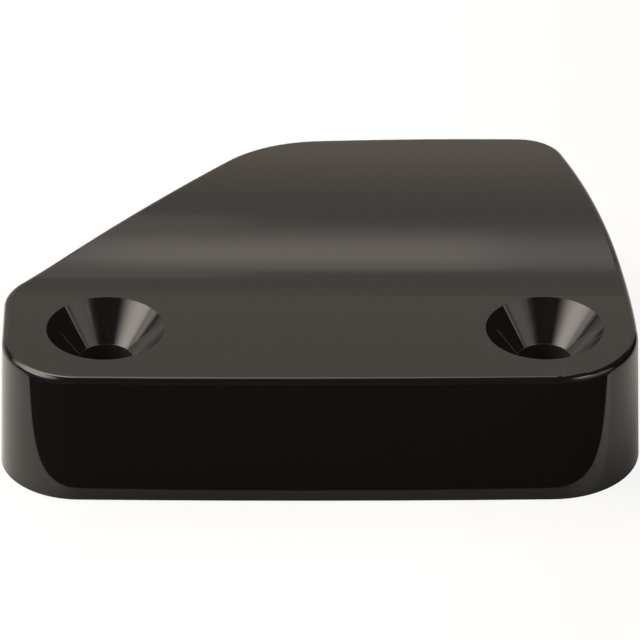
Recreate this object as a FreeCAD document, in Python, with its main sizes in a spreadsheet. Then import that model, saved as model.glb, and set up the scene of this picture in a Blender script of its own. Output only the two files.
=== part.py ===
import FreeCAD, Part
import math
import os
import re

import Sketcher
from FreeCAD import Placement, Rotation, Vector

# Side-entry jam cleat: one moulded block with two countersunk screw holes
# through its low front land and a toothed V-slot, the jaw, cut into its rear.
# Millimetres.  X runs along the rope, +Y points to the open jaw, +Z is up.
# The underside lies on z = 0 and the base outline is centred on the origin.

# Driving sizes: cell alias, value, meaning
SIZES = [
    ("body_length", 58.5, "length of the base along the rope"),
    ("body_depth", 42.6, "depth of the base, screw side to jaw side"),
    ("land_height", 12.7, "height of the flat land round the screws"),
    ("wall_draft", 1.5, "mould draft of the outer walls, degrees"),
    ("front_radius", 1100.0, "plan radius of the slightly bowed front face"),
    ("front_left_radius", 7.4, "plan radius of the front left corner"),
    ("front_right_radius", 8.2, "plan radius of the front right corner"),
    ("side_radius", 101.0, "plan radius of the bowed right side"),
    ("side_peak", 4.7, "centre of that bow behind the front face"),
    ("rear_radius", 230.0, "plan radius of the slightly bowed rear lip"),
    ("rear_peak", 13.6, "rear lip's crest to the right of the middle"),
    ("rear_right_radius", 4.8, "plan radius of the rear right corner"),
    ("rear_left_radius", 12.8, "plan radius of the rear left corner"),
    ("slant_angle", 42.5, "slanted left side from the Y axis, degrees"),
    ("slant_start", 16.0, "start of the slant behind the front face"),
    ("shoulder_radius", 5.4, "plan radius where the slant starts"),
    ("crown_start", 14.8, "end of the flat land behind the front face"),
    ("hollow_radius", 58.0, "radius of the hollow that starts the rise"),
    ("crown_radius", 126.0, "radius of the crowned jaw roof"),
    ("crown_slope", 6.0, "steepest slope of the rise, degrees"),
    ("edge_round", 0.60, "rounding of the upper edge"),
    ("hole_spacing", 40.0, "distance between the two screw holes"),
    ("hole_inset", 9.7, "left screw hole from the left end"),
    ("hole_setback", 9.3, "screw holes behind the front face"),
    ("hole_diameter", 5.0, "clearance bore for a 5 mm screw"),
    ("sink_diameter", 10.75, "countersink rim"),
    ("sink_angle", 82.0, "countersink angle, degrees"),
    ("jaw_depth", 16.5, "jaw depth from the rear face to the throat"),
    ("jaw_throat", 2.4, "gap between the jaws at the rounded throat"),
    ("jaw_angle", 9.2, "slope of each jaw wall, degrees"),
    ("jaw_lift", 0.35, "jaw's mid-plane above half the land's height"),
    ("jaw_round", 0.9, "lead-in rounding of the jaw's rim"),
    ("tooth_pitch", 3.6, "distance between teeth along the rope"),
    ("tooth_crest", 0.45, "flat crest of each tooth"),
    ("tooth_depth", 1.1, "depth of a gullet at the mouth"),
    ("tooth_end_depth", 0.35, "depth of a gullet near the throat"),
    ("tooth_bite", 0.25, "lean of a tooth's steep flank"),
    ("tooth_rake", 20.0, "gullets' lean along the rope, degrees"),
]
VALUE = {alias: value for alias, value, _ in SIZES}

# Formulas of those cells that more than one feature uses
JAW_TILT = "(jaw_angle * 1 deg)"
JAW_LEVEL = "(land_height / 2 + jaw_lift)"
THROAT_RUN = "(jaw_depth - jaw_throat / 2)"
THROAT_GAP = "(jaw_throat / 2 / cos(jaw_angle * 1 deg))"
MOUTH_GAP = "(%s + %s * tan%s)" % (THROAT_GAP, THROAT_RUN, JAW_TILT)
LIP = "(%s - %s)" % (JAW_LEVEL, MOUTH_GAP)
THROAT_EDGE = (
    "(body_length / 2 - (body_depth - slant_start - %s)"
    " * tan(slant_angle * 1 deg))" % THROAT_RUN)
RAKE_SHIFT = "((%s + jaw_round) * tan(tooth_rake * 1 deg))" % THROAT_RUN
GULLETS = (
    "(floor((body_length / 2 + %s) / tooth_pitch) + 1)" % THROAT_EDGE)

doc = FreeCAD.newDocument("JamCleat")
sheet = doc.addObject("Spreadsheet::Sheet", "Sizes")
for row, (alias, value, meaning) in enumerate(SIZES, start=1):
    sheet.set("A%d" % row, meaning)
    sheet.set("B%d" % row, str(value))
    sheet.setAlias("B%d" % row, alias)
doc.recompute()


def cell(formula):
    """Turn a formula of aliases into one that reads the sheet."""
    def name(match):
        word = match.group(0)
        return "Sizes." + word if word in VALUE else word

    return re.sub(r"[a-z_]+", name, formula)


def origin_plane(body, role):
    """Return the body's own origin plane or axis with this role."""
    for feature in body.Origin.OriginFeatures:
        if feature.Role == role:
            return feature
    raise ValueError("no origin feature " + role)


def new_sketch(body, name, role, offset=None):
    """Attach a new sketch to one of the body's origin planes."""
    sketch = body.newObject("Sketcher::SketchObject", name)
    sketch.AttachmentSupport = [(origin_plane(body, role), "")]
    sketch.MapMode = "FlatFace"
    if offset:
        sketch.setExpression("AttachmentOffset.Base.z", cell(offset))
    doc.recompute()
    return sketch


def bind(sketch, kind, args, name, formula, value):
    """Add one measured constraint and tie it to the sheet."""
    index = sketch.addConstraint(Sketcher.Constraint(kind, *args, value))
    sketch.renameConstraint(index, name)
    sketch.setExpression("Constraints." + name, cell(formula))


def arc(centre, radius, start, end):
    """Counter-clockwise arc between two directions, in radians."""
    circle = Part.Circle(Vector(centre[0], centre[1], 0), Vector(0, 0, 1), radius)
    return Part.ArcOfCircle(circle, start, end)


def line(start, end):
    """Straight line between two points of a sketch."""
    return Part.LineSegment(Vector(start[0], start[1], 0), Vector(end[0], end[1], 0))


def chain(sketch, closed=True):
    """Join each curve of the sketch to the next, end to start, in tangent."""
    count = sketch.GeometryCount
    for i in range(count if closed else count - 1):
        j = (i + 1) % count
        sketch.addConstraint(Sketcher.Constraint("Tangent", i, 2, j, 1))


def polygon(sketch, points):
    """Draw a closed polygon and join its sides at the corners."""
    first = sketch.GeometryCount
    count = len(points)
    for i, point in enumerate(points):
        sketch.addGeometry(line(point, points[(i + 1) % count]), False)
    for i in range(count):
        j = (i + 1) % count
        sketch.addConstraint(
            Sketcher.Constraint("Coincident", first + i, 2, first + j, 1))


def meet(first, first_radius, second, second_radius):
    """Upper of the two points at these distances from two centres."""
    dx, dy = second[0] - first[0], second[1] - first[1]
    gap = math.hypot(dx, dy)
    run = (gap ** 2 + first_radius ** 2 - second_radius ** 2) / (2 * gap)
    rise = math.sqrt(first_radius ** 2 - run ** 2)
    ux, uy = dx / gap, dy / gap
    points = [(first[0] + run * ux - s * rise * uy, first[1] + run * uy + s * rise * ux)
              for s in (-1, 1)]
    return max(points, key=lambda point: point[1])


def along(start, direction, centre, radius):
    """Farthest point of a straight line at this distance from a centre."""
    dx, dy = start[0] - centre[0], start[1] - centre[1]
    half = dx * direction[0] + dy * direction[1]
    far = -half + math.sqrt(half ** 2 - (dx ** 2 + dy ** 2 - radius ** 2))
    return start[0] + far * direction[0], start[1] + far * direction[1]


def base_outline(body):
    """Plan outline: straight left and slant, the other three sides bowed."""
    v = VALUE
    half_x, half_y = v["body_length"] / 2, v["body_depth"] / 2
    slant = math.radians(v["slant_angle"])
    fl, fr = v["front_left_radius"], v["front_right_radius"]
    rr, rl = v["rear_right_radius"], v["rear_left_radius"]
    sh, side, front_r = v["shoulder_radius"], v["side_radius"], v["front_radius"]
    slant_y = v["slant_start"] - half_y

    # Centres of the arcs, each tangent to its two neighbours
    front_y = front_r - half_y
    fl_c = (fl - half_x, front_y - math.sqrt((front_r - fl) ** 2 - (half_x - fl) ** 2))
    fr_c = (half_x - fr, front_y - math.sqrt((front_r - fr) ** 2 - (half_x - fr) ** 2))
    side_y = v["side_peak"] - half_y
    side_x = fr_c[0] - math.sqrt((side - fr) ** 2 - (fr_c[1] - side_y) ** 2)
    rear_c = (v["rear_peak"], half_y - v["rear_radius"])
    rr_c = meet((side_x, side_y), side - rr, rear_c, v["rear_radius"] - rr)
    into = (math.cos(slant), -math.sin(slant))
    start = (-half_x + rl * into[0], slant_y + rl * into[1])
    rl_x, rl_y = along(start, (math.sin(slant), math.cos(slant)),
                       rear_c, v["rear_radius"] - rl)
    sh_c = (-half_x + sh, slant_y - sh * math.tan(slant / 2))

    # Directions in which the bows meet their corners
    near_left = math.atan2(fl_c[1] - front_y, fl_c[0])
    near_right = math.atan2(fr_c[1] - front_y, fr_c[0])
    low = math.atan2(fr_c[1] - side_y, fr_c[0] - side_x)
    high = math.atan2(rr_c[1] - side_y, rr_c[0] - side_x)
    right = math.atan2(rr_c[1] - rear_c[1], rr_c[0] - rear_c[0])
    far_left = math.atan2(rl_y - rear_c[1], rl_x - rear_c[0])
    out = math.pi - slant
    rl_end = (rl_x + rl * math.cos(out), rl_y + rl * math.sin(out))
    sh_start = (sh_c[0] + sh * math.cos(out), sh_c[1] + sh * math.sin(out))

    sketch = new_sketch(body, "BaseOutline", "XY_Plane")
    for curve in (
        arc((0, front_y), front_r, near_left, near_right),
        arc(fr_c, fr, near_right, low),
        arc((side_x, side_y), side, low, high),
        arc(rr_c, rr, high, right),
        arc(rear_c, v["rear_radius"], right, far_left),
        arc((rl_x, rl_y), rl, far_left, out),
        line(rl_end, sh_start),
        arc(sh_c, sh, out, math.pi),
        line((-half_x, sh_c[1]), (-half_x, fl_c[1])),
        arc(fl_c, fl, math.pi, 2 * math.pi + near_left),
    ):
        sketch.addGeometry(curve, False)
    chain(sketch)
    (front, corner_fr, bow, corner_rr, rear, corner_rl,
     slanted, shoulder, left, corner_fl) = range(10)
    sketch.addConstraint(Sketcher.Constraint("PointOnObject", front, 3, -2))
    sketch.addConstraint(Sketcher.Constraint("Vertical", left))
    for index, name in (
        (front, "front_radius"), (corner_fr, "front_right_radius"), (bow, "side_radius"),
        (corner_rr, "rear_right_radius"), (corner_rl, "rear_left_radius"),
        (rear, "rear_radius"),
        (shoulder, "shoulder_radius"), (corner_fl, "front_left_radius"),
    ):
        bind(sketch, "Radius", (index,), name, name, v[name])
    bind(sketch, "DistanceY", (-1, 1, front, 3), "to_front",
         "front_radius - body_depth / 2", front_y)
    bind(sketch, "DistanceY", (rear, 3, -1, 1), "to_rear",
         "rear_radius - body_depth / 2", v["rear_radius"] - half_y)
    bind(sketch, "DistanceX", (-1, 1, rear, 3), "lip_crest", "rear_peak", v["rear_peak"])
    bind(sketch, "DistanceX", (left, 1, -1, 1), "to_left", "body_length / 2", half_x)
    bind(sketch, "DistanceX", (-1, 1, corner_fr, 3), "to_right",
         "body_length / 2 - front_right_radius", fr_c[0])
    bind(sketch, "DistanceY", (bow, 3, -1, 1), "bow_centre",
         "body_depth / 2 - side_peak", half_y - v["side_peak"])
    bind(sketch, "DistanceY", (shoulder, 3, -1, 1), "shoulder_centre",
         "body_depth / 2 - slant_start + shoulder_radius * tan(slant_angle * 1 deg / 2)",
         -sh_c[1])
    bind(sketch, "Angle", (slanted,), "slant_direction",
         "(270 - slant_angle) * 1 deg", math.radians(270 - v["slant_angle"]))
    return sketch


def roof_line():
    """Work out the side profile of the top: land, hollow, then crown."""
    v = VALUE
    slope = math.radians(v["crown_slope"])
    start = v["crown_start"] - v["body_depth"] / 2
    turn_y = start + v["hollow_radius"] * math.sin(slope)
    turn_z = v["land_height"] + v["hollow_radius"] * (1 - math.cos(slope))
    crown_y = turn_y + v["crown_radius"] * math.sin(slope)
    crown_z = turn_z - v["crown_radius"] * math.cos(slope)
    return start, (turn_y, turn_z), (crown_y, crown_z)


def roof_sketch(body, reach, top):
    """Everything above the side profile, to be cut away."""
    v = VALUE
    slope = math.radians(v["crown_slope"])
    start, turn, crown = roof_line()
    land = v["land_height"]
    fall = math.acos((reach - crown[0]) / v["crown_radius"])
    end_z = crown[1] + v["crown_radius"] * math.sin(fall)

    sketch = new_sketch(body, "RoofProfile", "YZ_Plane")
    hollow_centre = (start, land + v["hollow_radius"])
    for curve in (
        line((-reach, land), (start, land)),
        arc(hollow_centre, v["hollow_radius"], -math.pi / 2, -math.pi / 2 + slope),
        arc(crown, v["crown_radius"], fall, math.pi / 2 + slope),
        line((reach, end_z), (reach, top)),
        line((reach, top), (-reach, top)),
        line((-reach, top), (-reach, land)),
    ):
        sketch.addGeometry(curve, False)
    flat, hollow, crest, rear, lid, front = range(6)
    add = sketch.addConstraint
    add(Sketcher.Constraint("Tangent", flat, 2, hollow, 1))
    add(Sketcher.Constraint("Tangent", hollow, 2, crest, 2))
    add(Sketcher.Constraint("Coincident", crest, 1, rear, 1))
    add(Sketcher.Constraint("Coincident", rear, 2, lid, 1))
    add(Sketcher.Constraint("Coincident", lid, 2, front, 1))
    add(Sketcher.Constraint("Coincident", front, 2, flat, 1))
    add(Sketcher.Constraint("Horizontal", flat))
    add(Sketcher.Constraint("Horizontal", lid))
    add(Sketcher.Constraint("Vertical", rear))
    add(Sketcher.Constraint("Vertical", front))
    bind(sketch, "Radius", (hollow,), "hollow_radius", "hollow_radius",
         v["hollow_radius"])
    bind(sketch, "Radius", (crest,), "crown_radius", "crown_radius",
         v["crown_radius"])
    bind(sketch, "DistanceY", (-1, 1, flat, 1), "land", "land_height", land)
    bind(sketch, "DistanceX", (flat, 1, flat, 2), "land_run",
         "body_depth * 0.5 + crown_start", start + reach)
    bind(sketch, "DistanceX", (hollow, 1, hollow, 2), "hollow_run",
         "hollow_radius * sin(crown_slope * 1 deg)", turn[0] - start)
    bind(sketch, "DistanceY", (-1, 1, lid, 1), "lid", "land_height * 2", top)
    bind(sketch, "DistanceX", (front, 1, -1, 1), "front_reach", "body_depth", reach)
    bind(sketch, "DistanceX", (-1, 1, rear, 1), "rear_reach", "body_depth", reach)
    return sketch


def jaw_sizes():
    """Numbers for the jaw's first drawing, from the same driving sizes."""
    v = VALUE
    tilt = math.radians(v["jaw_angle"])
    radius = v["jaw_throat"] / 2
    throat_y = v["body_depth"] / 2 - v["jaw_depth"] + radius
    level = v["land_height"] / 2 + v["jaw_lift"]
    return tilt, radius, throat_y, level


def half_gap(y):
    """Half the gap between the jaw walls at this depth of the body."""
    tilt, radius, throat_y, _ = jaw_sizes()
    return radius / math.cos(tilt) + (y - throat_y) * math.tan(tilt)


def jaw_sketch(body, reach):
    """V-slot seen along the rope: round throat, open to the rear."""
    tilt, radius, throat_y, level = jaw_sizes()
    open_gap = half_gap(reach)
    upper_y = throat_y - radius * math.sin(tilt)
    rise = radius * math.cos(tilt)

    sketch = new_sketch(body, "JawProfile", "YZ_Plane")
    for curve in (
        line((reach, level + open_gap), (upper_y, level + rise)),
        arc((throat_y, level), radius, math.pi / 2 + tilt, 1.5 * math.pi - tilt),
        line((upper_y, level - rise), (reach, level - open_gap)),
        line((reach, level - open_gap), (reach, level + open_gap)),
    ):
        sketch.addGeometry(curve, False)
    roof, throat, floor, mouth = range(4)
    add = sketch.addConstraint
    add(Sketcher.Constraint("Tangent", roof, 2, throat, 1))
    add(Sketcher.Constraint("Tangent", throat, 2, floor, 1))
    add(Sketcher.Constraint("Coincident", floor, 2, mouth, 1))
    add(Sketcher.Constraint("Coincident", mouth, 2, roof, 1))
    add(Sketcher.Constraint("Vertical", mouth))
    bind(sketch, "Radius", (throat,), "throat_radius", "jaw_throat / 2", radius)
    bind(sketch, "DistanceY", (-1, 1, throat, 3), "level", JAW_LEVEL, level)
    bind(sketch, "DistanceX", (throat, 3, mouth, 1), "run",
         "jaw_depth - jaw_throat / 2 + body_depth / 2", reach - throat_y)
    bind(sketch, "DistanceX", (-1, 1, mouth, 1), "reach", "body_depth", reach)
    bind(sketch, "Angle", (floor,), "floor_slope", "0 deg - " + JAW_TILT, -tilt)
    bind(sketch, "Angle", (roof,), "roof_slope", "180 deg + " + JAW_TILT,
         math.pi + tilt)
    return sketch


def faces_meeting(shape, edge):
    """Normals of the two faces at the middle of their shared edge."""
    middle = edge.valueAt((edge.FirstParameter + edge.LastParameter) / 2)
    normals = []
    for face in shape.ancestorsOfType(edge, Part.Face):
        u, w = face.Surface.parameter(middle)
        normals.append(face.normalAt(u, w))
    return middle, normals


def roof_rim(shape):
    """Names of the edges between the top and the outer walls."""
    names = []
    for index, edge in enumerate(shape.Edges, start=1):
        _, normals = faces_meeting(shape, edge)
        tops = [n for n in normals if n.z > 0.9]
        if len(normals) == 2 and len(tops) == 1:
            names.append("Edge%d" % index)
    return names


def jaw_rim(shape):
    """Names of the edges between the slot and the outer walls."""
    tilt, radius, throat_y, level = jaw_sizes()
    names = []
    for index, edge in enumerate(shape.Edges, start=1):
        ends = [vertex.Point for vertex in edge.Vertexes]
        middle, normals = faces_meeting(shape, edge)
        if len(normals) != 2 or normals[0].dot(normals[1]) > 0.7:
            continue
        inside = [
            abs(abs(p.z - level) - half_gap(p.y)) < 0.02
            or abs(math.hypot(p.y - throat_y, p.z - level) - radius) < 0.02
            for p in ends + [middle]
        ]
        if all(inside):
            names.append("Edge%d" % index)
    return names


def gullet_profile(body, name, side, at_mouth):
    """Saw-tooth section of one gullet; side is +1 above, -1 below the slot."""
    v = VALUE
    tilt, radius, throat_y, level = jaw_sizes()
    y = v["body_depth"] / 2 + v["jaw_round"] if at_mouth else throat_y
    depth_name = "tooth_depth" if at_mouth else "tooth_end_depth"
    slant_run = v["body_depth"] / 2 + throat_y - v["slant_start"]
    edge = v["body_length"] / 2 - slant_run * math.tan(math.radians(v["slant_angle"]))
    shift = (y - throat_y) * math.tan(math.radians(v["tooth_rake"]))

    # The section is drawn 1.3 times as large from its root, so that it clears
    # the wall it is cut into
    depth, over = v[depth_name], 1.3
    steep = v["tooth_bite"] * over
    ramp = (v["tooth_pitch"] - v["tooth_crest"] - v["tooth_bite"]) * over
    root = (-edge - shift, level + side * (half_gap(y) + depth))
    open_z = root[1] - side * depth * over
    plane = "0 - body_depth / 2 - jaw_round"
    gap = "(%s + jaw_round * tan%s)" % (MOUTH_GAP, JAW_TILT)
    across = "%s + %s" % (THROAT_EDGE, RAKE_SHIFT)
    if not at_mouth:
        plane, gap, across = "%s - body_depth / 2" % THROAT_RUN, THROAT_GAP, THROAT_EDGE

    sketch = new_sketch(body, name, "XZ_Plane", plane)
    points = [root, (root[0] + steep, open_z), (root[0] - ramp, open_z)]
    polygon(sketch, points)
    sketch.addConstraint(Sketcher.Constraint("Horizontal", 1))
    sign = "+" if side > 0 else "-"
    bind(sketch, "DistanceX", (0, 1, -1, 1), "root_x", across, -root[0])
    bind(sketch, "DistanceY", (-1, 1, 0, 1), "root_z",
         "%s %s (%s + %s)" % (JAW_LEVEL, sign, gap, depth_name), root[1])
    bind(sketch, "DistanceX", (0, 1, 0, 2), "steep", "tooth_bite * 1.3", steep)
    bind(sketch, "DistanceX", (1, 2, 0, 1), "ramp",
         "(tooth_pitch - tooth_crest - tooth_bite) * 1.3", ramp)
    opening = (0, 2, 0, 1) if side > 0 else (0, 1, 0, 2)
    bind(sketch, "DistanceY", opening, "opening", "%s * 1.3" % depth_name,
         depth * over)
    return sketch


def gullet_row(body, word, side):
    """Cut one raked gullet down a jaw wall and repeat it along the rope."""
    mouth = gullet_profile(body, word + "GulletMouth", side, True)
    throat = gullet_profile(body, word + "GulletEnd", side, False)
    doc.recompute()
    gullet = body.newObject("PartDesign::SubtractiveLoft", word + "Gullet")
    gullet.Profile = mouth
    gullet.Sections = [throat]
    gullet.Ruled = True
    doc.recompute()
    row = body.newObject("PartDesign::LinearPattern", word + "Teeth")
    row.Originals = [gullet]
    row.Direction = (origin_plane(body, "X_Axis"), [""])
    row.setExpression("Occurrences", cell(GULLETS))
    row.setExpression("Length", cell("tooth_pitch * (%s - 1)" % GULLETS))
    body.Tip = row
    doc.recompute()
    return row


def dress(body, kind, name, base, edges, prop, formula):
    """Add a fillet or chamfer on named edges, its size tied to the sheet."""
    feature = body.newObject(kind, name)
    feature.Base = (base, edges)
    feature.setExpression(prop, cell(formula))
    doc.recompute()
    return feature


def cleat_body():
    """Build the one moulded piece, feature by feature."""
    v = VALUE
    body = doc.addObject("PartDesign::Body", "CleatBody")
    body.Label = "cleat_body"
    reach, lid = v["body_depth"], v["land_height"] * 2

    block = body.newObject("PartDesign::Pad", "Block")
    block.Profile = base_outline(body)
    block.setExpression("Length", cell("land_height * 1.5"))
    block.setExpression("TaperAngle", cell("0 - wall_draft"))
    doc.recompute()

    roof = body.newObject("PartDesign::Pocket", "Roof")
    roof.Profile = roof_sketch(body, reach, lid)
    roof.Type = "ThroughAll"
    roof.Midplane = True
    doc.recompute()

    lip = "min(edge_round; %s * 0.4)" % LIP
    rounded = dress(body, "PartDesign::Fillet", "UpperEdge", roof,
                    roof_rim(roof.Shape), "Radius", lip)

    centres = new_sketch(body, "ScrewCentres", "XY_Plane", "land_height")
    hole_y = v["hole_setback"] - v["body_depth"] / 2
    left_x = v["hole_inset"] - v["body_length"] / 2
    for number, x in enumerate((left_x, left_x + v["hole_spacing"])):
        circle = Part.Circle(Vector(x, hole_y, 0), Vector(0, 0, 1), v["hole_diameter"] / 2)
        centres.addGeometry(circle, False)
        word = ("left", "right")[number]
        bind(centres, "DistanceY", (number, 3, -1, 1), word + "_y",
             "body_depth / 2 - hole_setback", -hole_y)
        bind(centres, "Diameter", (number,), word + "_bore", "hole_diameter",
             v["hole_diameter"])
    bind(centres, "DistanceX", (0, 3, -1, 1), "left_x",
         "body_length / 2 - hole_inset", -left_x)
    bind(centres, "DistanceX", (0, 3, 1, 3), "spacing", "hole_spacing",
         v["hole_spacing"])
    doc.recompute()
    holes = body.newObject("PartDesign::Hole", "ScrewHoles")
    holes.Profile = centres
    holes.DepthType = "ThroughAll"
    holes.ThreadType = "None"
    holes.HoleCutType = "Countersink"
    holes.setExpression("Diameter", cell("hole_diameter"))
    holes.setExpression("HoleCutDiameter", cell("sink_diameter"))
    holes.setExpression("HoleCutCountersinkAngle", cell("sink_angle"))
    doc.recompute()

    jaw = body.newObject("PartDesign::Pocket", "Jaw")
    jaw.Profile = jaw_sketch(body, reach)
    jaw.Type = "ThroughAll"
    jaw.Midplane = True
    doc.recompute()
    lead_in = "min(jaw_round; %s * 0.4)" % LIP
    dress(body, "PartDesign::Fillet", "JawLeadIn", jaw, jaw_rim(jaw.Shape),
          "Radius", lead_in)

    gullet_row(body, "Lower", -1)
    gullet_row(body, "Upper", 1)
    return body


def check(document):
    """Stop if any feature failed or any solid is not sound."""
    for item in document.Objects:
        if "Invalid" in item.State or "Error" in item.State:
            raise RuntimeError("feature failed: " + item.Name)
    for item in document.Objects:
        if item.TypeId == "PartDesign::Body":
            shape = item.Shape
            if shape.isNull() or not shape.isValid() or len(shape.Solids) != 1:
                raise RuntimeError("bad solid: " + item.Label)


cleat = cleat_body()
doc.recompute()
check(doc)
os.makedirs("parts", exist_ok=True)
cleat.Shape.exportStep("parts/%s.step" % cleat.Label)
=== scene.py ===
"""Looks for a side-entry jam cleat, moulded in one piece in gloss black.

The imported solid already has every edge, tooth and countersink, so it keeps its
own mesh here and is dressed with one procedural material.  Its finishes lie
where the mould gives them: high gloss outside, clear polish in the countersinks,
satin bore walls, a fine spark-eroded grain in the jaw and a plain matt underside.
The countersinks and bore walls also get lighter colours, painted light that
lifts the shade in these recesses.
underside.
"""

import logging
import math
from dataclasses import dataclass, field
from enum import Enum
from typing import Dict, List, Sequence, Tuple, Union

import bpy
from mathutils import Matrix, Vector

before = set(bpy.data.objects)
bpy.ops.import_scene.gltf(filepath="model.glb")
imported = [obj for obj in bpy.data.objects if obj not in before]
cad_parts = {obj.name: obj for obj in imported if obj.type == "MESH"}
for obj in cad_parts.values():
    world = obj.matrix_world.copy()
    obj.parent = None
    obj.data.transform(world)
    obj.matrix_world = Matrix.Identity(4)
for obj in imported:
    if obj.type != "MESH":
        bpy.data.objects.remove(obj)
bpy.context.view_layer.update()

MM = 0.001
RIPPLE_DETAIL = 1.0
GRAIN_DETAIL = 2.5
ZENITH = 90.0
HALF_TURN = 180.0
LOG = logging.getLogger("jam_cleat")

Colour = Tuple[float, float, float]
Socket = bpy.types.NodeSocket
Plug = Union[Socket, float, int, Sequence[float]]


class Op(Enum):
    """Arithmetic that the shader trees use."""

    ADD = "ADD"
    SUBTRACT = "SUBTRACT"
    MULTIPLY = "MULTIPLY"
    DIVIDE = "DIVIDE"
    ABSOLUTE = "ABSOLUTE"
    MINIMUM = "MINIMUM"
    MAXIMUM = "MAXIMUM"
    SINE = "SINE"
    ARCSINE = "ARCSINE"
    ARCTANGENT = "ARCTAN2"


class ShaderTree:
    """One node tree, with short calls that add nodes and join them."""

    def __init__(self, tree: bpy.types.NodeTree) -> None:
        """Start from an empty tree.

        Args:
            tree: Node tree of a material, a world or a node group.
        """
        self.tree = tree
        tree.nodes.clear()

    def add(self, kind: str, **settings: object) -> bpy.types.Node:
        """Add one node and set its properties.

        Args:
            kind: Blender's type name of the node.
            **settings: Properties of the node and their values.

        Returns:
            The new node.
        """
        node = self.tree.nodes.new(kind)
        for name, value in settings.items():
            setattr(node, name, value)
        return node

    def plug(self, source: Plug, target: Socket) -> None:
        """Join a socket to an input, or set the input to a plain value."""
        if isinstance(source, bpy.types.NodeSocket):
            self.tree.links.new(source, target)
        else:
            target.default_value = source

    def math(self, op: Op, first: Plug, second: Plug = 0.0) -> Socket:
        """Add one arithmetic node.

        Args:
            op: What it does.
            first: Its first number.
            second: Its second number, where it needs one.

        Returns:
            The result.
        """
        node = self.add("ShaderNodeMath", operation=op.value)
        self.plug(first, node.inputs[0])
        self.plug(second, node.inputs[1])
        return node.outputs[0]

    def fade(self, value: Plug, start: float, end: float) -> Socket:
        """Add a smooth step that is 0 before start and 1 after end.

        Args:
            value: Number that the step reads.
            start: Value at which the step begins.
            end: Value at which it ends, below start for a falling step.

        Returns:
            The mask.
        """
        node = self.add("ShaderNodeMapRange", interpolation_type="SMOOTHSTEP")
        low, high = (start, end) if start < end else (end, start)
        self.plug(value, node.inputs["Value"])
        node.inputs["From Min"].default_value = low
        node.inputs["From Max"].default_value = high
        node.inputs["To Min"].default_value = 0.0 if start < end else 1.0
        node.inputs["To Max"].default_value = 1.0 if start < end else 0.0
        return node.outputs["Result"]

    def blend(self, mask: Plug, below: Plug, above: Plug) -> Socket:
        """Mix two numbers by a mask: below at 0, above at 1."""
        node = self.add("ShaderNodeMix", data_type="FLOAT")
        self.plug(mask, node.inputs[0])
        self.plug(below, node.inputs[2])
        self.plug(above, node.inputs[3])
        return node.outputs[0]

    def tint(self, mask: Plug, below: Plug, above: Plug) -> Socket:
        """Mix two colours by a mask: below at 0, above at 1."""
        node = self.add("ShaderNodeMix", data_type="RGBA")
        self.plug(mask, node.inputs[0])
        for index, colour in ((6, below), (7, above)):
            plain = not isinstance(colour, bpy.types.NodeSocket)
            self.plug((*colour, 1.0) if plain else colour, node.inputs[index])
        return node.outputs[2]

    def span(self, value: Socket, limits: Sequence[float]) -> Socket:
        """Add a mask that rises, stays full and falls again.

        Args:
            value: Number that the mask reads.
            limits: Where it starts, is full, stops being full and ends.

        Returns:
            The mask.
        """
        start, full, falling, end = limits
        return self.math(Op.MULTIPLY, self.fade(value, start, full),
                         self.fade(value, end, falling))

    def lighter(self, first: Socket, second: Socket) -> Socket:
        """Keep the lighter of two colours, channel by channel."""
        node = self.add("ShaderNodeMix", data_type="RGBA", blend_type="LIGHTEN")
        node.inputs[0].default_value = 1.0
        self.plug(first, node.inputs[6])
        self.plug(second, node.inputs[7])
        return node.outputs[2]

    def millimetres(self) -> Socket:
        """Add the object's own coordinates, turned from metres to millimetres."""
        coordinates = self.add("ShaderNodeTexCoord")
        scale = self.add("ShaderNodeVectorMath", operation="SCALE")
        self.plug(coordinates.outputs["Object"], scale.inputs[0])
        scale.inputs["Scale"].default_value = 1.0 / MM
        return scale.outputs[0]

    def axes(self, vector: Socket) -> Tuple[Socket, Socket, Socket]:
        """Split a vector into its three parts."""
        node = self.add("ShaderNodeSeparateXYZ")
        self.plug(vector, node.inputs[0])
        return node.outputs[0], node.outputs[1], node.outputs[2]

    def noise(self, place: Socket, cell: Plug, detail: float) -> Socket:
        """Add soft noise whose spots are about one cell wide.

        Args:
            place: Position in millimetres.
            cell: Width of a spot in millimetres.
            detail: Number of finer layers.

        Returns:
            Noise from 0 to 1.
        """
        node = self.add("ShaderNodeTexNoise", noise_dimensions="3D")
        self.plug(place, node.inputs["Vector"])
        self.plug(self.math(Op.DIVIDE, 1.0, cell), node.inputs["Scale"])
        node.inputs["Detail"].default_value = detail
        return node.outputs["Fac"]

    def group(self, tree: bpy.types.NodeTree, **inputs: Plug) -> bpy.types.Node:
        """Place a node group and fill in its inputs.

        Args:
            tree: The group.
            **inputs: Its inputs, with an underscore for each space.

        Returns:
            The group's node.
        """
        node = self.add("ShaderNodeGroup", node_tree=tree)
        for name, value in inputs.items():
            self.plug(value, node.inputs[name.replace("_", " ")])
        return node

    def surface(self, source: Socket, kind: str = "ShaderNodeOutputMaterial") -> None:
        """End the tree: join a shader to the output of a material or a world."""
        self.plug(source, self.add(kind).inputs["Surface"])


def new_material(name: str) -> Tuple[bpy.types.Material, ShaderTree]:
    """Start a material, and return it with its empty tree."""
    material = bpy.data.materials.new(name)
    material.use_nodes = True
    return material, ShaderTree(material.node_tree)


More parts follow.
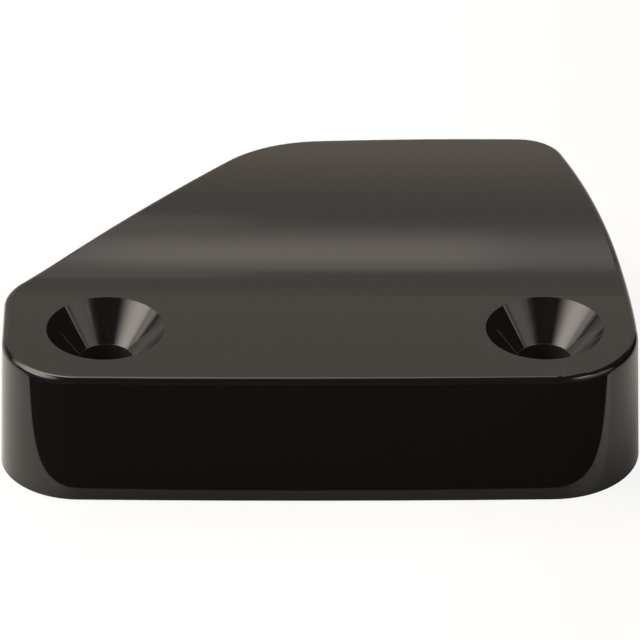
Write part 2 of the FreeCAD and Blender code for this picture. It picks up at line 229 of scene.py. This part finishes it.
def new_group(name: str, inputs: Dict[str, str],
              outputs: Sequence[str]) -> Tuple[ShaderTree, Dict[str, Socket], bpy.types.Node]:
    """Start a shader node group with named inputs and outputs.

    Args:
        name: Name of the group.
        inputs: Name of each input and Blender's type of its socket.
        outputs: Names of the outputs, each a number.

    Returns:
        The group's tree, its inputs by name, and the node to join results to.
    """
    tree = bpy.data.node_groups.new(name, "ShaderNodeTree")
    for label, kind in inputs.items():
        tree.interface.new_socket(label, in_out="INPUT", socket_type=kind)
    for label in outputs:
        tree.interface.new_socket(label, in_out="OUTPUT", socket_type="NodeSocketFloat")
    shader = ShaderTree(tree)
    start = shader.add("NodeGroupInput")
    end = shader.add("NodeGroupOutput")
    return shader, {label: start.outputs[label] for label in inputs}, end


def ripple_group() -> bpy.types.NodeTree:
    """Build the slow waviness that a cooling surface keeps.

    Returns:
        Group with inputs Position, Length and Depth, and output Height.
    """
    shader, given, end = new_group(
        "surface ripple",
        {"Position": "NodeSocketVector", "Length": "NodeSocketFloat",
         "Depth": "NodeSocketFloat"},
        ("Height",))
    wave = shader.noise(given["Position"], given["Length"], RIPPLE_DETAIL)
    centred = shader.math(Op.SUBTRACT, wave, 0.5)
    height = shader.math(Op.MULTIPLY, centred, given["Depth"])
    shader.plug(height, end.inputs["Height"])
    return shader.tree


def grain_group() -> bpy.types.NodeTree:
    """Build a fine even grain, for eroded steel moulds and for coated paper.

    Returns:
        Group with inputs Position, Cell and Depth, and outputs Grain and Height.
    """
    shader, given, end = new_group(
        "fine grain",
        {"Position": "NodeSocketVector", "Cell": "NodeSocketFloat",
         "Depth": "NodeSocketFloat"},
        ("Grain", "Height"))
    grain = shader.noise(given["Position"], given["Cell"], GRAIN_DETAIL)
    height = shader.math(Op.MULTIPLY, grain, given["Depth"])
    shader.plug(grain, end.inputs["Grain"])
    shader.plug(height, end.inputs["Height"])
    return shader.tree


@dataclass(frozen=True)
class Finish:
    """One finish of the moulding: colour, gloss and the depth of its grain."""

    colour: Colour
    roughness: float
    grain_mm: float


@dataclass(frozen=True)
class MouldFinishes:
    """The five finishes that the mould leaves on the cleat; the countersinks and bore walls get
    lighter colours, painted light that lifts the shade in these recesses.
    """

    outside: Finish = Finish((0.0066, 0.0064, 0.0062), 0.050, 0.0)
    # painted light: a lighter colour than outside, lifting the shade in the countersinks
    sinks_with_painted_light: Finish = Finish((0.0085, 0.0083, 0.0081), 0.055, 0.0)
    # painted light: a much lighter colour than outside, lifting the shade deep in the screw holes
    bores_with_painted_light: Finish = Finish((0.0220, 0.0215, 0.0210), 0.250, 0.0)
    jaw: Finish = Finish((0.0085, 0.0082, 0.0080), 0.270, 0.0035)
    underside: Finish = Finish((0.0100, 0.0097, 0.0094), 0.420, 0.0060)
    ripple_length_mm: float = 7.0
    ripple_depth_mm: float = 0.0022
    grain_cell_mm: float = 0.22
    haze_cell_mm: float = 5.5
    haze: float = 0.018
    ring_pitch_mm: float = 0.16
    ring_depth_mm: float = 0.00012
    ior: float = 1.45


@dataclass
class MouldedCleat:
    """The one moulded piece: where its finishes lie, and their material.

    Lengths are in millimetres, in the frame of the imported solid.  A fade holds
    how far from its boundary a finish starts to show and shows in full.
    """

    node: str = "cleat_body"
    screw_left: Tuple[float, float] = (-19.55, -12.0)
    screw_right: Tuple[float, float] = (20.45, -12.0)
    sink_radius: float = 5.375
    bore_radius: float = 2.5
    jaw_level: float = 6.7
    throat_y: float = 6.0
    throat_gap: float = 1.2
    jaw_slope: float = math.tan(math.radians(9.2))
    gullet_depth: float = 1.15
    sink_fade: Tuple[float, float] = (0.04, -0.02)
    bore_fade: Tuple[float, float] = (0.06, 0.01)
    gullet_fade: float = 0.1
    throat_fade: Tuple[float, float] = (1.6, 1.4)
    base_fade: Tuple[float, float] = (0.06, 0.02)
    finishes: MouldFinishes = field(default_factory=MouldFinishes)

    def zones(self) -> bpy.types.NodeTree:
        """Build the masks that tell the finishes apart by position.

        Returns:
            Group with input Position in millimetres, and outputs Sinks, Bores,
            Jaw, Underside and Radius, the distance to the nearer screw's axis.
        """
        shader, given, end = new_group(
            "cleat zones", {"Position": "NodeSocketVector"},
            ("Sinks", "Bores", "Jaw", "Underside", "Radius"))
        x, y, z = shader.axes(given["Position"])
        radii = [self.axis_distance(shader, given["Position"], centre)
                 for centre in (self.screw_left, self.screw_right)]
        radius = shader.math(Op.MINIMUM, radii[0], radii[1])
        sinks_with_painted_light = shader.fade(radius, *(self.sink_radius + part for part in self.sink_fade))
        bores_with_painted_light = shader.fade(radius, *(self.bore_radius + part for part in self.bore_fade))

        run = shader.math(Op.SUBTRACT, y, self.throat_y)
        rise = shader.math(Op.MULTIPLY, run, self.jaw_slope)
        half_gap = shader.math(Op.ADD, rise, self.throat_gap)
        level = shader.math(Op.ABSOLUTE, shader.math(Op.SUBTRACT, z, self.jaw_level))
        beyond = shader.math(Op.SUBTRACT, level, half_gap)
        within = shader.fade(beyond, self.gullet_depth + self.gullet_fade, self.gullet_depth)
        behind = shader.fade(y, *(self.throat_y - part for part in self.throat_fade))
        jaw = shader.math(Op.MULTIPLY, within, behind)

        shader.plug(sinks_with_painted_light, end.inputs["Sinks"])
        shader.plug(bores_with_painted_light, end.inputs["Bores"])
        shader.plug(jaw, end.inputs["Jaw"])
        shader.plug(shader.fade(z, *self.base_fade), end.inputs["Underside"])
        shader.plug(radius, end.inputs["Radius"])
        return shader.tree

    @staticmethod
    def axis_distance(shader: ShaderTree, place: Socket,
                      centre: Tuple[float, float]) -> Socket:
        """Measure the distance from a vertical axis.

        Args:
            shader: Tree to add to.
            place: Position in millimetres.
            centre: Where the axis stands.

        Returns:
            The distance in millimetres.
        """
        flat = shader.add("ShaderNodeVectorMath", operation="MULTIPLY")
        shader.plug(place, flat.inputs[0])
        flat.inputs[1].default_value = (1.0, 1.0, 0.0)
        gap = shader.add("ShaderNodeVectorMath", operation="DISTANCE")
        shader.plug(flat.outputs[0], gap.inputs[0])
        gap.inputs[1].default_value = (centre[0], centre[1], 0.0)
        return gap.outputs["Value"]

    def material(self, ripple: bpy.types.NodeTree,
                 grain: bpy.types.NodeTree) -> bpy.types.Material:
        """Build the gloss black moulding material.

        Args:
            ripple: The surface ripple group.
            grain: The fine grain group.

        Returns:
            The material.
        """
        finish = self.finishes
        result, shader = new_material("gloss_black_moulding")
        place = shader.millimetres()
        zone = shader.group(self.zones(), Position=place)
        sinks_with_painted_light, bores_with_painted_light, jaw, under = (zone.outputs[name]
                                    for name in ("Sinks", "Bores", "Jaw", "Underside"))

        waves = shader.group(ripple, Position=place, Length=finish.ripple_length_mm,
                             Depth=finish.ripple_depth_mm)
        speckle = shader.group(grain, Position=place, Cell=finish.grain_cell_mm)
        haze = shader.group(grain, Position=place, Cell=finish.haze_cell_mm, Depth=finish.haze)

        # the countersink and bore colours are painted light that lifts these shaded recesses
        colour = shader.tint(sinks_with_painted_light, finish.outside.colour, finish.sinks_with_painted_light.colour)
        colour = shader.tint(bores_with_painted_light, colour, finish.bores_with_painted_light.colour)
        colour = shader.tint(jaw, colour, finish.jaw.colour)
        colour = shader.tint(under, colour, finish.underside.colour)

        gloss = shader.blend(sinks_with_painted_light, finish.outside.roughness, finish.sinks_with_painted_light.roughness)
        gloss = shader.blend(bores_with_painted_light, gloss, finish.bores_with_painted_light.roughness)
        gloss = shader.blend(jaw, gloss, finish.jaw.roughness)
        gloss = shader.blend(under, gloss, finish.underside.roughness)
        gloss = shader.math(Op.ADD, gloss, haze.outputs["Height"])

        depth = shader.blend(jaw, 0.0, finish.jaw.grain_mm)
        depth = shader.blend(under, depth, finish.underside.grain_mm)
        texture = shader.math(Op.MULTIPLY, speckle.outputs["Grain"], depth)
        turns = shader.math(Op.MULTIPLY, zone.outputs["Radius"],
                            2.0 * math.pi / finish.ring_pitch_mm)
        rings = shader.math(Op.MULTIPLY, shader.math(Op.SINE, turns), finish.ring_depth_mm)
        rings = shader.math(Op.MULTIPLY, rings, sinks_with_painted_light)
        height = shader.math(Op.ADD, waves.outputs["Height"], texture)
        height = shader.math(Op.ADD, height, rings)
        bump = shader.add("ShaderNodeBump")
        bump.inputs["Strength"].default_value = 1.0
        bump.inputs["Distance"].default_value = MM
        shader.plug(height, bump.inputs["Height"])

        plastic = shader.add("ShaderNodeBsdfPrincipled")
        plastic.inputs["IOR"].default_value = finish.ior
        shader.plug(colour, plastic.inputs["Base Color"])
        shader.plug(gloss, plastic.inputs["Roughness"])
        shader.plug(bump.outputs["Normal"], plastic.inputs["Normal"])
        shader.surface(plastic.outputs["BSDF"])
        return result

    def dress(self, nodes: Dict[str, bpy.types.Object], ripple: bpy.types.NodeTree,
              grain: bpy.types.NodeTree) -> bpy.types.Object:
        """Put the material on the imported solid, which keeps its own mesh.

        Args:
            nodes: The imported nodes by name.
            ripple: The surface ripple group.
            grain: The fine grain group.

        Returns:
            The dressed object.
        """
        body = nodes[self.node]
        finish = self.material(ripple, grain)
        for holder in body.material_slots:
            holder.material = finish
        return body


@dataclass(frozen=True)
class SkyStop:
    """Light from one elevation behind the cleat; elevation in degrees."""

    elevation: float
    light: Colour


@dataclass(frozen=True)
class SoftPanel:
    """A soft-edged panel of light in the room.

    Angles are in degrees.  The turn goes round from the camera at 0, through the
    left at 90 and behind at 180, to the right at 270.  Each span holds where the
    light starts, where it is full, where it stops being full and where it ends.
    The front fill crosses the camera's direction, so it is two panels that meet.
    """

    name: str
    turn: Tuple[float, float, float, float]
    lift: Tuple[float, float, float, float]
    level: float


@dataclass
class Studio:
    """Pale floor and a dark room with soft panels of light round the cleat."""

    floor_half: float = 4.0
    floor_drop: float = 0.00012
    floor_colour: Colour = (0.84, 0.84, 0.835)
    # painted shade: the paper darkens to this grey on the right, standing in for the cleat's
    # shadow seen in its gloss
    floor_painted_shade_side: Colour = (0.62, 0.62, 0.62)
    floor_painted_shade_fall: Tuple[float, float] = (5.0, 34.0)
    paper_cell_mm: float = 0.6
    paper_mottle: float = 0.985
    white_to_camera: float = 0.88
    white_in_gloss: float = 0.06
    card_back: float = -0.0208
    card_front: float = -0.0233
    card_half_width: float = 0.16
    card_length: float = 0.45
    # painted shadow: grey where the cleat's foot shades the floor in front
    card_painted_foot_shadow: float = 0.47
    card_painted_foot_shadow_reach: Tuple[float, float] = (0.0215, 0.0265)
    card_blur: float = 0.0001
    # painted dark reflection for the front face, beyond the foot
    card_painted_dark_reflection: float = 0.012
    sky_top: float = 8.0
    room_dark: float = 0.015
    warmth: Colour = (1.10, 1.0, 0.90)
    behind_span: Tuple[float, float, float, float] = (142.0, 151.0, 187.0, 192.0)
    behind: Tuple[SkyStop, ...] = (
        SkyStop(0.0, (0.62, 0.56, 0.48)), SkyStop(14.0, (0.66, 0.59, 0.51)),
        SkyStop(22.0, (0.88, 0.78, 0.66)), SkyStop(26.0, (0.91, 0.80, 0.68)),
        SkyStop(29.0, (0.84, 0.74, 0.63)), SkyStop(32.0, (0.745, 0.665, 0.57)),
        SkyStop(34.0, (0.69, 0.615, 0.54)), SkyStop(36.0, (0.675, 0.60, 0.54)),
        SkyStop(37.4, (0.71, 0.64, 0.575)), SkyStop(38.4, (0.77, 0.69, 0.625)),
        SkyStop(39.3, (0.88, 0.79, 0.71)), SkyStop(40.0, (1.00, 0.90, 0.82)),
        SkyStop(40.8, (1.21, 1.09, 1.06)), SkyStop(42.0, (1.49, 1.36, 1.33)),
        SkyStop(43.2, (1.64, 1.49, 1.46)), SkyStop(50.0, (2.9, 2.6, 2.5)),
        SkyStop(55.0, (2.4, 2.15, 2.05)), SkyStop(60.0, (0.05, 0.045, 0.04)),
        SkyStop(90.0, (0.05, 0.045, 0.04)),
    )
    panels: Tuple[SoftPanel, ...] = (
        SoftPanel("left_panel", (30.0, 75.0, 80.0, 129.0), (22.0, 30.0, 58.0, 67.0), 7.1),
        SoftPanel("low_left_panel", (94.0, 103.0, 106.0, 120.0), (12.0, 21.0, 32.0, 40.0), 2.8),
        SoftPanel("high_left_panel", (52.0, 80.0, 112.0, 146.0), (32.0, 42.0, 62.0, 74.0), 6.5),
        SoftPanel("back_panel", (105.0, 135.0, 167.0, 186.0), (45.0, 54.0, 61.0, 75.0), 6.8),
        SoftPanel("behind_band", (176.4, 178.2, 181.6, 183.0), (35.3, 44.1, 47.0, 52.0), 2.08),
        SoftPanel("behind_left", (174.0, 176.0, 179.0, 180.3), (35.4, 38.0, 40.5, 44.0), 0.98),
        SoftPanel("low_left_wall", (112.0, 128.0, 149.0, 155.0), (-4.0, 2.0, 14.0, 24.0), 0.55),
        SoftPanel("right_panel", (268.0, 286.0, 298.0, 345.0), (8.0, 30.0, 44.0, 52.0), 1.75),
        SoftPanel("high_right_panel", (284.0, 294.0, 310.0, 325.0), (44.0, 49.0, 60.0, 67.0), 5.0),
        SoftPanel("right_strip", (270.5, 272.0, 273.5, 275.5), (24.0, 30.0, 52.0, 60.0), 2.4),
        SoftPanel("right_wall", (182.0, 187.0, 207.0, 216.0), (-4.0, 0.0, 34.0, 39.0), 0.60),
        SoftPanel("front_fill_left", (-2.0, -1.0, 15.0, 45.0), (2.0, 18.0, 30.0, 46.0), 0.10),
        SoftPanel("front_fill_right", (315.0, 345.0, 361.0, 362.0), (2.0, 18.0, 30.0, 46.0), 0.10),
    )

    def gradient(self, shader: ShaderTree, lift: Socket) -> Socket:
        """Turn elevation into the light from behind, as a share of the sky's top.

        Args:
            shader: Tree to add to.
            lift: Elevation in degrees.

        Returns:
            Colour from the ramp.
        """
        node = shader.add("ShaderNodeValToRGB")
        shader.plug(shader.math(Op.DIVIDE, lift, ZENITH), node.inputs[0])
        ramp = node.color_ramp
        while len(ramp.elements) > 1:
            ramp.elements.remove(ramp.elements[-1])
        for index, stop in enumerate(self.behind):
            position = stop.elevation / ZENITH
            element = ramp.elements[0] if index == 0 else ramp.elements.new(position)
            element.position = position
            element.color = (*(part / self.sky_top for part in stop.light), 1.0)
        return node.outputs["Color"]

    def panel_light(self, shader: ShaderTree, turn: Socket, lift: Socket,
                    panel: SoftPanel) -> Socket:
        """Build one panel's light, as a share of the sky's top.

        Args:
            shader: Tree to add to.
            turn: Direction round the cleat in degrees.
            lift: Elevation in degrees.
            panel: The panel.

        Returns:
            Its light in each direction.
        """
        across = shader.span(turn, panel.turn)
        upward = shader.span(lift, panel.lift)
        mask = shader.math(Op.MULTIPLY, across, upward)
        mask.node.label = panel.name
        return shader.math(Op.MULTIPLY, mask, panel.level / self.sky_top)

    def room(self) -> None:
        """Light the room: graded behind the cleat, with panels to the sides."""
        world = bpy.data.worlds.new("studio_room")
        bpy.context.scene.world = world
        world.use_nodes = True
        shader = ShaderTree(world.node_tree)
        direction = shader.add("ShaderNodeTexCoord").outputs["Generated"]
        x, y, z = shader.axes(direction)
        degrees = HALF_TURN / math.pi
        lift = shader.math(Op.MULTIPLY, shader.math(Op.ARCSINE, z), degrees)
        turn = shader.math(Op.MULTIPLY, shader.math(Op.ARCTANGENT, x, y), degrees)
        turn = shader.math(Op.ADD, turn, HALF_TURN)
        level: Plug = self.room_dark / self.sky_top
        for panel in self.panels:
            level = shader.math(Op.MAXIMUM, level, self.panel_light(shader, turn, lift, panel))
        lamps = shader.tint(level, (0.0, 0.0, 0.0), self.warmth)
        behind = shader.tint(shader.span(turn, self.behind_span), (0.0, 0.0, 0.0),
                             self.gradient(shader, lift))
        light = shader.add("ShaderNodeBackground")
        light.inputs["Strength"].default_value = self.sky_top
        shader.plug(shader.lighter(lamps, behind), light.inputs["Color"])
        shader.surface(light.outputs[0], "ShaderNodeOutputWorld")

    def floor(self, grain: bpy.types.NodeTree) -> bpy.types.Object:
        """Lay the pale floor just under the cleat.

        Args:
            grain: The fine grain group, for its paper tooth.

        Returns:
            The floor.
        """
        bpy.ops.mesh.primitive_plane_add(size=2.0 * self.floor_half,
                                         location=(0.0, 0.0, -self.floor_drop))
        floor = bpy.context.object
        floor.name = "studio_floor"
        floor.data.materials.append(self.floor_material(grain))
        return floor

    def floor_material(self, grain: bpy.types.NodeTree) -> bpy.types.Material:
        """Build pale coated paper that shows close to white, with painted shade that darkens it to
        the right.

        Args:
            grain: The fine grain group.

        Returns:
            The material.
        """
        result, shader = new_material("pale_paper")
        place = shader.millimetres()
        tooth = shader.group(grain, Position=place, Cell=self.paper_cell_mm)
        darker = tuple(self.paper_mottle * part for part in self.floor_colour)
        colour = shader.tint(tooth.outputs["Grain"], darker, self.floor_colour)
        across = shader.axes(place)[0]
        # painted shade: darker paper to the right of the cleat
        colour = shader.tint(shader.fade(across, *self.floor_painted_shade_fall), colour, self.floor_painted_shade_side)
        paper = shader.add("ShaderNodeBsdfDiffuse")
        shader.plug(colour, paper.inputs["Color"])
        white = shader.add("ShaderNodeEmission")
        white.inputs["Strength"].default_value = 1.0
        path = shader.add("ShaderNodeLightPath")
        seen = shader.math(Op.MAXIMUM, path.outputs["Is Camera Ray"],
                           path.outputs["Is Transmission Ray"])
        seen = shader.math(Op.MULTIPLY, seen, self.white_to_camera)
        gloss = shader.math(Op.MULTIPLY, path.outputs["Is Glossy Ray"], self.white_in_gloss)
        share = shader.math(Op.MAXIMUM, seen, gloss)
        mix = shader.add("ShaderNodeMixShader")
        shader.plug(share, mix.inputs[0])
        shader.plug(paper.outputs[0], mix.inputs[1])
        shader.plug(white.outputs[0], mix.inputs[2])
        shader.surface(mix.outputs[0])
        return result

    def painted_shade_card(self) -> bpy.types.Object:
        """Lay a card in front that paints shade into the gloss: grey painted shadow at the foot,
        pale beside it and black beyond, a painted dark reflection.

        It is seen only where the gloss reflects it.

        Returns:
            The card.
        """
        middle = self.card_back - self.card_length / 2.0
        bpy.ops.mesh.primitive_plane_add(
            size=1.0, location=(0.0, middle, -self.floor_drop / 2.0))
        card = bpy.context.object
        card.name = "painted_shade_card"
        card.scale = (2.0 * self.card_half_width, self.card_length, 1.0)
        bpy.ops.object.transform_apply(location=True, rotation=False, scale=True)
        card.data.materials.append(self.card_material())
        for kind in ("camera", "diffuse", "transmission", "volume_scatter", "shadow"):
            setattr(card, "visible_" + kind, False)
        return card

    def card_material(self) -> bpy.types.Material:
        """Build the card's three matt tones, told apart by their place on it: painted shadow at
        the foot, the floor's colour beside it and painted dark beyond.

        Returns:
            The material.
        """
        result, shader = new_material("painted_shade_card_matt")
        coordinates = shader.add("ShaderNodeTexCoord")
        across, distance, _ = shader.axes(coordinates.outputs["Object"])
        aside = shader.fade(shader.math(Op.ABSOLUTE, across), *self.card_painted_foot_shadow_reach)
        # painted shadow grey at the foot, the floor's colour beside it
        grey = shader.tint(aside, (self.card_painted_foot_shadow,) * 3, self.floor_colour)
        beyond = shader.fade(distance, self.card_front + self.card_blur, self.card_front)
        # painted dark reflection beyond the foot
        colour = shader.tint(beyond, grey, (self.card_painted_dark_reflection,) * 3)
        cloth = shader.add("ShaderNodeBsdfDiffuse")
        shader.plug(colour, cloth.inputs["Color"])
        shader.surface(cloth.outputs[0])
        return result

    def build(self, grain: bpy.types.NodeTree) -> List[bpy.types.Object]:
        """Build the room, the floor and the card.

        Args:
            grain: The fine grain group.

        Returns:
            The objects made.
        """
        self.room()
        return [self.floor(grain), self.painted_shade_card()]


@dataclass(frozen=True)
class Viewpoint:
    """The photograph's camera, fitted to the cleat's outline.

    The picture is 640 by 640, so one angle serves both ways.
    """

    elevation: float = 31.957
    yaw: float = 0.079
    distance: float = 0.68955
    look_at_y: float = 0.0001
    look_at_z: float = 0.0065
    lens: float = 417.7
    aim_down: float = 0.00041
    aim_right: float = 0.00001
    sensor: float = 36.0
    clip: Tuple[float, float] = (0.01, 20.0)

    def place(self) -> bpy.types.Object:
        """Set up the scene's camera.

        Returns:
            The camera.
        """
        lift, turn = math.radians(self.elevation), math.radians(self.yaw)
        ahead = Vector((math.sin(turn) * math.cos(lift), math.cos(turn) * math.cos(lift),
                        -math.sin(lift)))
        right = Vector((math.cos(turn), -math.sin(turn), 0.0))
        up = right.cross(ahead)
        target = Vector((0.0, self.look_at_y, self.look_at_z))
        target += right * self.aim_right - up * self.aim_down
        data = bpy.data.cameras.new("product_camera")
        data.sensor_width = self.sensor
        data.lens = self.lens
        data.clip_start, data.clip_end = self.clip
        camera = bpy.data.objects.new("product_camera", data)
        bpy.context.scene.collection.objects.link(camera)
        camera.location = target - ahead * self.distance
        camera.rotation_euler = ahead.to_track_quat("-Z", "Y").to_euler()
        bpy.context.scene.camera = camera
        return camera


def main() -> None:
    """Place the camera, build the studio and dress the cleat."""
    logging.basicConfig(level=logging.INFO, format="%(name)s: %(message)s")
    bpy.ops.object.select_all(action="DESELECT")
    bpy.context.scene.view_settings.view_transform = "Standard"
    camera = Viewpoint().place()
    LOG.info("camera %s, lens %.1f mm", camera.name, camera.data.lens)
    ripple, grain = ripple_group(), grain_group()
    for piece in Studio().build(grain):
        LOG.info("studio: %s", piece.name)
    body = MouldedCleat().dress(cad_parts, ripple, grain)
    LOG.info("dressed %s, %d faces", body.name, len(body.data.polygons))


if __name__ == "__main__":
    main()
